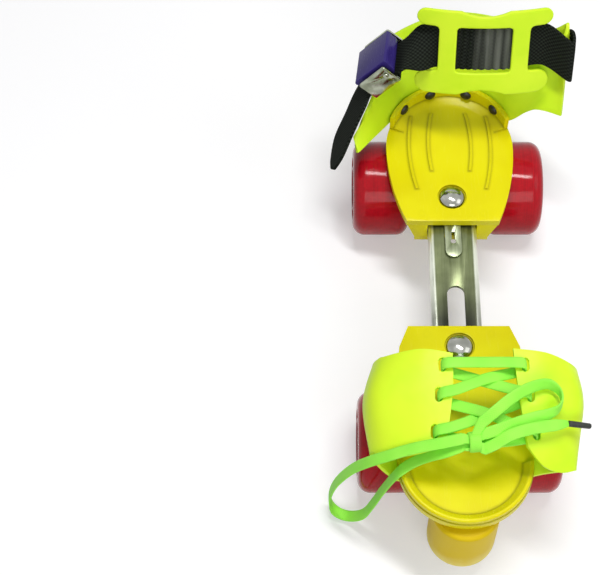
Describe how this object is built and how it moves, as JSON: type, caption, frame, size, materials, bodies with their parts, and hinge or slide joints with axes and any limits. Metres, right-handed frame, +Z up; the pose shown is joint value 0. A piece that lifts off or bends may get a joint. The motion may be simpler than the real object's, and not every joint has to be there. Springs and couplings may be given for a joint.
{
  "type": "clip-on roller skate",
  "caption": "Clip-on roller skate with a heel frame and a toe frame on a slotted length-adjusting bar, free wheels, a soft heel cup with a cam-buckle ankle strap and a laced vamp.",
  "frame": {"origin": "on the floor under the middle of the skate, half way between the axles with the skate drawn out", "axes": "+Z up, +Y from toe to heel, +X to the right of the toe when seen from above with the heel at the top"},
  "size_m": [0.1342, 0.2946, 0.1452],
  "materials": {
    "lime_vinyl": "soft vinyl sheet, satin",
    "yellow_plastic": "moulded plastic, glossy",
    "zinc_steel": "zinc plated",
    "polished_steel": "polished",
    "plated_bar": "bright plated strip",
    "buckle_steel": "nickel plated",
    "purple_plastic": "glossy",
    "black_rivet": "black lacquer",
    "black_webbing": "woven",
    "yellow_rubber": "moulded, satin",
    "green_lace": "woven flat lace",
    "dark_tip": "shrunk sleeve",
    "red_wheel": "cast, glossy"
  },
  "bodies": {
    "heel_frame": {"heel_plate": "yellow_plastic", "rear_truck": "yellow_plastic", "rear_truck_screws": "zinc_steel", "rear_axle": "zinc_steel", "rear_bearing_sleeves": "polished_steel", "rear_axle_nuts": "zinc_steel", "rear_bolt": "polished_steel", "rear_bolt_washer": "zinc_steel", "rear_bolt_nut": "zinc_steel", "guide_tongue": "polished_steel", "heel_cup": "lime_vinyl", "heel_rivets": "black_rivet", "ankle_strap": "black_webbing", "instep_pad": "lime_vinyl", "buckle_base": "buckle_steel", "buckle_pin": "buckle_steel"},
    "bar": {"slide_bar": "plated_bar"},
    "toe_frame": {"toe_plate": "yellow_plastic", "front_truck": "yellow_plastic", "front_truck_screws": "zinc_steel", "front_axle": "zinc_steel", "front_bearing_sleeves": "polished_steel", "front_axle_nuts": "zinc_steel", "front_bolt": "polished_steel", "front_bolt_washer": "zinc_steel", "front_bolt_nut": "zinc_steel", "toe_stop": "yellow_rubber", "toe_stop_bolt": "zinc_steel", "vamp_left": "lime_vinyl", "vamp_right": "lime_vinyl", "vamp_rivets": "black_rivet", "lacing": "green_lace", "lace_knot": "green_lace", "bow_loop_left": "green_lace", "bow_loop_right": "green_lace", "lace_end_long": "green_lace", "lace_end_short": "green_lace", "aglets": "dark_tip"},
    "buckle_lever": {"buckle_lever": "purple_plastic"},
    "rear_left_wheel_body": {"rear_left_wheel": "red_wheel", "rear_left_bearings": "polished_steel"},
    "rear_right_wheel_body": {"rear_right_wheel": "red_wheel", "rear_right_bearings": "polished_steel"},
    "front_left_wheel_body": {"front_left_wheel": "red_wheel", "front_left_bearings": "polished_steel"},
    "front_right_wheel_body": {"front_right_wheel": "red_wheel", "front_right_bearings": "polished_steel"}
  },
  "joints": [
    {"name": "bar_slide", "type": "slide", "parent": "heel_frame", "child": "bar", "axis": [0, 1, 0], "range_m": [0, 0.022]},
    {"name": "toe_slide", "type": "slide", "parent": "bar", "child": "toe_frame", "axis": [0, 1, 0], "range_m": [0, 0.03]},
    {"name": "lever_hinge", "type": "hinge", "parent": "heel_frame", "child": "buckle_lever", "pos_m": [-0.03652, 0.10711, 0.11815], "axis": [0.1136, 0.9824, -0.1485], "range_deg": [0, 70]},
    {"name": "rear_left_spin", "type": "hinge", "parent": "heel_frame", "child": "rear_left_wheel_body", "pos_m": [-0.038, 0.081, 0.027], "axis": [1, 0, 0], "continuous": true},
    {"name": "rear_right_spin", "type": "hinge", "parent": "heel_frame", "child": "rear_right_wheel_body", "pos_m": [0.038, 0.081, 0.027], "axis": [1, 0, 0], "continuous": true},
    {"name": "front_left_spin", "type": "hinge", "parent": "toe_frame", "child": "front_left_wheel_body", "pos_m": [-0.038, -0.081, 0.027], "axis": [1, 0, 0], "continuous": true},
    {"name": "front_right_spin", "type": "hinge", "parent": "toe_frame", "child": "front_right_wheel_body", "pos_m": [0.038, -0.081, 0.027], "axis": [1, 0, 0], "continuous": true}
  ]
}
